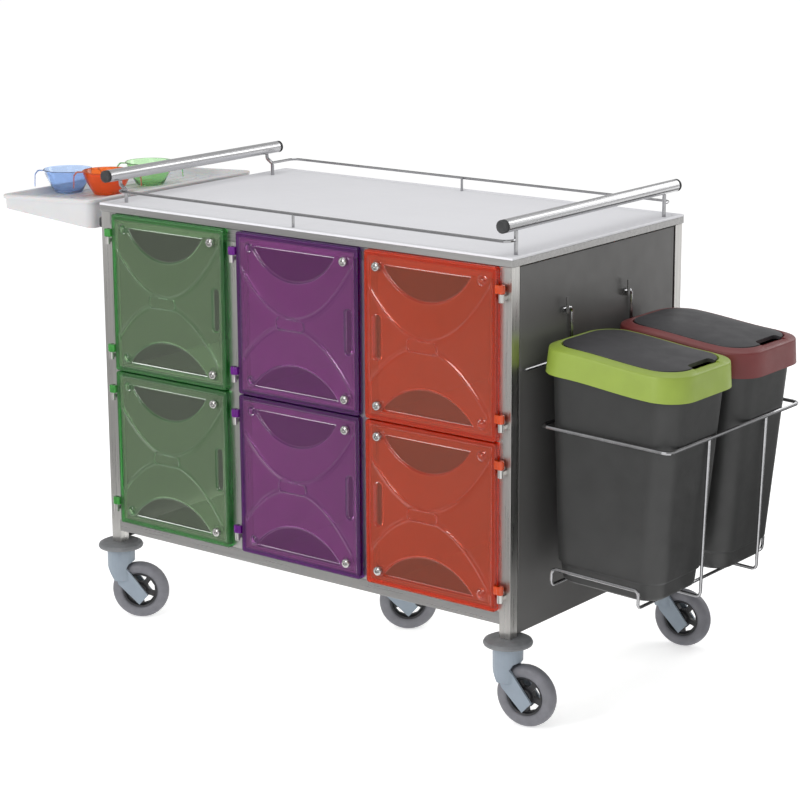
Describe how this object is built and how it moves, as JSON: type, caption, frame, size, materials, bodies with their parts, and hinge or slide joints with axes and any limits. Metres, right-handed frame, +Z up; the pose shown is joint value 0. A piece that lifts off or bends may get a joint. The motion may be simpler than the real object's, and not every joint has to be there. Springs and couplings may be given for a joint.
{
  "type": "housekeeping cart",
  "caption": "Steel housekeeping cart with moulded hinged doors, swivel castors, push handles, a fold-down side shelf with cups and waste bins hung in a wire rack.",
  "frame": {"origin": "on the floor, at the middle of the whole object's box", "axes": "+Z up, +X along the cart from the side shelf to the bins, the doors face -Y"},
  "size_m": [1.7529, 0.673, 0.99],
  "materials": {
    "satin_steel": "satin brushed stainless steel",
    "polished_steel": "polished stainless wire",
    "dark_panel": "dark satin powder coat",
    "inner_board": "dark grey board",
    "worktop_laminate": "pale grey coated sheet with a fine sheen",
    "cap_rubber": "black moulded rubber",
    "door_green": "clear green moulded plastic",
    "door_purple": "clear purple moulded plastic",
    "door_orange": "clear orange moulded plastic",
    "fork_grey": "blue-grey glass-filled nylon",
    "tyre_grey": "grey non-marking rubber tyre on a dark rim",
    "bin_black": "finely grained black plastic",
    "rim_green": "lime green plastic",
    "rim_red": "dark red plastic",
    "shelf_white": "white translucent plastic",
    "cup_blue": "clear blue plastic",
    "cup_orange": "clear orange plastic",
    "cup_green": "clear green plastic"
  },
  "bodies": {
    "cart_frame": {"worktop": "worktop_laminate", "post_front_left": "satin_steel", "post_front_right": "satin_steel", "post_rear_left": "satin_steel", "post_rear_right": "satin_steel", "front_top_rail": "satin_steel", "front_bottom_rail": "satin_steel", "mullion_left": "satin_steel", "mullion_right": "satin_steel", "handle_tube_left": "satin_steel", "handle_tube_right": "satin_steel", "side_panel_left": "dark_panel", "side_panel_right": "dark_panel", "back_panel": "dark_panel", "floor_pan": "inner_board", "divider_left": "inner_board", "divider_right": "inner_board", "inner_shelf_left": "inner_board", "inner_shelf_centre": "inner_board", "inner_shelf_right": "inner_board", "gallery_rail_front": "polished_steel", "gallery_rail_rear": "polished_steel", "handle_cap_front_left": "cap_rubber", "handle_cap_front_right": "cap_rubber", "handle_cap_rear_left": "cap_rubber", "handle_cap_rear_right": "cap_rubber", "bumper_front_left": "cap_rubber", "bumper_front_right": "cap_rubber", "bumper_rear_left": "cap_rubber", "bumper_rear_right": "cap_rubber", "castor_mount_centre": "satin_steel", "shelf_hinge_tube": "satin_steel"},
    "door_green_lower": {"door_green_lower": "door_green"},
    "door_green_upper": {"door_green_upper": "door_green"},
    "door_purple_lower": {"door_purple_lower": "door_purple"},
    "door_purple_upper": {"door_purple_upper": "door_purple"},
    "door_orange_lower": {"door_orange_lower": "door_orange"},
    "door_orange_upper": {"door_orange_upper": "door_orange"},
    "fork_front_left": {"castor_fork_front_left": "fork_grey"},
    "wheel_front_left": {"castor_wheel_front_left": "tyre_grey"},
    "fork_front_right": {"castor_fork_front_right": "fork_grey"},
    "wheel_front_right": {"castor_wheel_front_right": "tyre_grey"},
    "fork_rear_left": {"castor_fork_rear_left": "fork_grey"},
    "wheel_rear_left": {"castor_wheel_rear_left": "tyre_grey"},
    "fork_rear_right": {"castor_fork_rear_right": "fork_grey"},
    "wheel_rear_right": {"castor_wheel_rear_right": "tyre_grey"},
    "fork_centre": {"castor_fork_centre": "fork_grey"},
    "wheel_centre": {"castor_wheel_centre": "tyre_grey"},
    "bin_rack": {"bin_rack": "polished_steel"},
    "bin_front": {"bin_body_front": "bin_black", "bin_rim_front": "rim_green"},
    "bin_lid_front": {"bin_lid_front": "bin_black"},
    "bin_rear": {"bin_body_rear": "bin_black", "bin_rim_rear": "rim_red"},
    "bin_lid_rear": {"bin_lid_rear": "bin_black"},
    "side_shelf": {"side_shelf": "shelf_white"},
    "cup_blue": {"cup_blue": "cup_blue"},
    "cup_orange": {"cup_orange": "cup_orange"},
    "cup_green": {"cup_green": "cup_green"}
  },
  "joints": [
    {"name": "door_green_lower_hinge", "type": "hinge", "parent": "cart_frame", "child": "door_green_lower", "pos_m": [-0.5035, -0.312, 0.39425], "axis": [0, 0, -1], "range_deg": [0, 110]},
    {"name": "door_green_upper_hinge", "type": "hinge", "parent": "cart_frame", "child": "door_green_upper", "pos_m": [-0.5035, -0.312, 0.73275], "axis": [0, 0, -1], "range_deg": [0, 110]},
    {"name": "door_purple_lower_hinge", "type": "hinge", "parent": "cart_frame", "child": "door_purple_lower", "pos_m": [-0.154, -0.312, 0.39425], "axis": [0, 0, -1], "range_deg": [0, 110]},
    {"name": "door_purple_upper_hinge", "type": "hinge", "parent": "cart_frame", "child": "door_purple_upper", "pos_m": [-0.154, -0.312, 0.73275], "axis": [0, 0, -1], "range_deg": [0, 110]},
    {"name": "door_orange_lower_hinge", "type": "hinge", "parent": "cart_frame", "child": "door_orange_lower", "pos_m": [0.5165, -0.312, 0.39425], "axis": [0, 0, 1], "range_deg": [0, 110]},
    {"name": "door_orange_upper_hinge", "type": "hinge", "parent": "cart_frame", "child": "door_orange_upper", "pos_m": [0.5165, -0.312, 0.73275], "axis": [0, 0, 1], "range_deg": [0, 110]},
    {"name": "castor_swivel_front_left", "type": "hinge", "parent": "cart_frame", "child": "fork_front_left", "pos_m": [-0.5195, -0.2875, 0.143], "axis": [0, 0, 1], "continuous": true},
    {"name": "wheel_spin_front_left", "type": "hinge", "parent": "fork_front_left", "child": "wheel_front_left", "pos_m": [-0.4835, -0.26587, 0.0625], "axis": [-0.515, 0.8572, 0], "continuous": true},
    {"name": "castor_swivel_front_right", "type": "hinge", "parent": "cart_frame", "child": "fork_front_right", "pos_m": [0.5195, -0.2875, 0.143], "axis": [0, 0, 1], "continuous": true},
    {"name": "wheel_spin_front_right", "type": "hinge", "parent": "fork_front_right", "child": "wheel_front_right", "pos_m": [0.56119, -0.28238, 0.0625], "axis": [-0.1219, 0.9925, 0], "continuous": true},
    {"name": "castor_swivel_rear_left", "type": "hinge", "parent": "cart_frame", "child": "fork_rear_left", "pos_m": [-0.5195, 0.2875, 0.143], "axis": [0, 0, 1], "continuous": true},
    {"name": "wheel_spin_rear_left", "type": "hinge", "parent": "fork_rear_left", "child": "wheel_rear_left", "pos_m": [-0.47956, 0.30048, 0.0625], "axis": [-0.309, 0.9511, 0], "continuous": true},
    {"name": "castor_swivel_rear_right", "type": "hinge", "parent": "cart_frame", "child": "fork_rear_right", "pos_m": [0.5195, 0.2875, 0.143], "axis": [0, 0, 1], "continuous": true},
    {"name": "wheel_spin_rear_right", "type": "hinge", "parent": "fork_rear_right", "child": "wheel_rear_right", "pos_m": [0.56127, 0.29189, 0.0625], "axis": [-0.1045, 0.9945, 0], "continuous": true},
    {"name": "castor_swivel_centre", "type": "hinge", "parent": "cart_frame", "child": "fork_centre", "pos_m": [0, 0, 0.143], "axis": [0, 0, 1], "continuous": true},
    {"name": "wheel_spin_centre", "type": "hinge", "parent": "fork_centre", "child": "wheel_centre", "pos_m": [0.0331, 0.02586, 0.0625], "axis": [-0.6157, 0.788, 0], "continuous": true},
    {"name": "rack_lift_off", "type": "slide", "parent": "cart_frame", "child": "bin_rack", "axis": [0, 0, 1], "range_m": [0, 0.03]},
    {"name": "bin_lift_out_front", "type": "slide", "parent": "bin_rack", "child": "bin_front", "axis": [0.0349, 0, 0.9994], "range_m": [0, 0.33]},
    {"name": "lid_hinge_front", "type": "hinge", "parent": "bin_front", "child": "bin_lid_front", "pos_m": [0.57125, -0.1388, 0.74702], "axis": [0, -1, 0], "range_deg": [0, 75]},
    {"name": "bin_lift_out_rear", "type": "slide", "parent": "bin_rack", "child": "bin_rear", "axis": [0.0349, 0, 0.9994], "range_m": [0, 0.33]},
    {"name": "lid_hinge_rear", "type": "hinge", "parent": "bin_rear", "child": "bin_lid_rear", "pos_m": [0.57125, 0.109, 0.74702], "axis": [0, -1, 0], "range_deg": [0, 75]},
    {"name": "side_shelf_fold", "type": "hinge", "parent": "cart_frame", "child": "side_shelf", "pos_m": [-0.575, 0, 0.848], "axis": [0, -1, 0], "range_deg": [0, 90]},
    {"name": "cup_blue_lift_off", "type": "slide", "parent": "side_shelf", "child": "cup_blue", "axis": [0, 0, 1], "range_m": [0, 0.12]},
    {"name": "cup_orange_lift_off", "type": "slide", "parent": "side_shelf", "child": "cup_orange", "axis": [0, 0, 1], "range_m": [0, 0.12]},
    {"name": "cup_green_lift_off", "type": "slide", "parent": "side_shelf", "child": "cup_green", "axis": [0, 0, 1], "range_m": [0, 0.12]}
  ]
}
